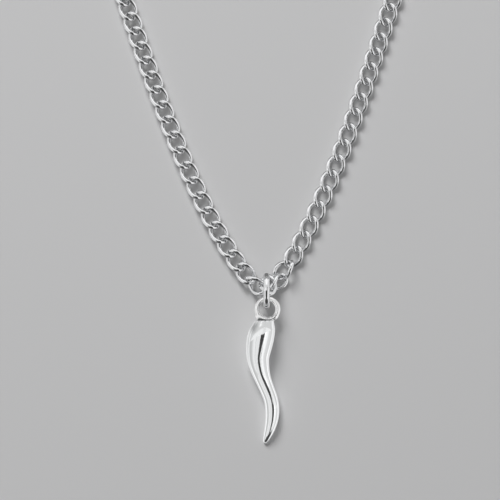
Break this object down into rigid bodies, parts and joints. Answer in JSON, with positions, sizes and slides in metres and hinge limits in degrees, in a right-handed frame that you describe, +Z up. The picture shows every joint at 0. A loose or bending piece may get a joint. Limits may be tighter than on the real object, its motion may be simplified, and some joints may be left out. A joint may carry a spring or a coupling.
{
  "type": "horn pendant on a curb chain",
  "caption": "Curved cornicello horn with a soldered loop, hung by a jump ring from a closed curb link necklace that lies flat and ends in a plain barrel clasp.",
  "frame": {"origin": "on the surface that the necklace lies on, under the centre of the round neck opening", "axes": "+Y from the pendant to the clasp, +X to the right with the pendant towards the viewer, +Z up off the surface"},
  "size_m": [0.1056, 0.2234, 0.0072],
  "materials": {
    "polished_silver": "polished"
  },
  "bodies": {
    "root": {"chain_left": "polished_silver", "chain_right": "polished_silver", "jump_ring": "polished_silver", "horn_pendant": "polished_silver", "clasp": "polished_silver"}
  },
  "joints": []
}
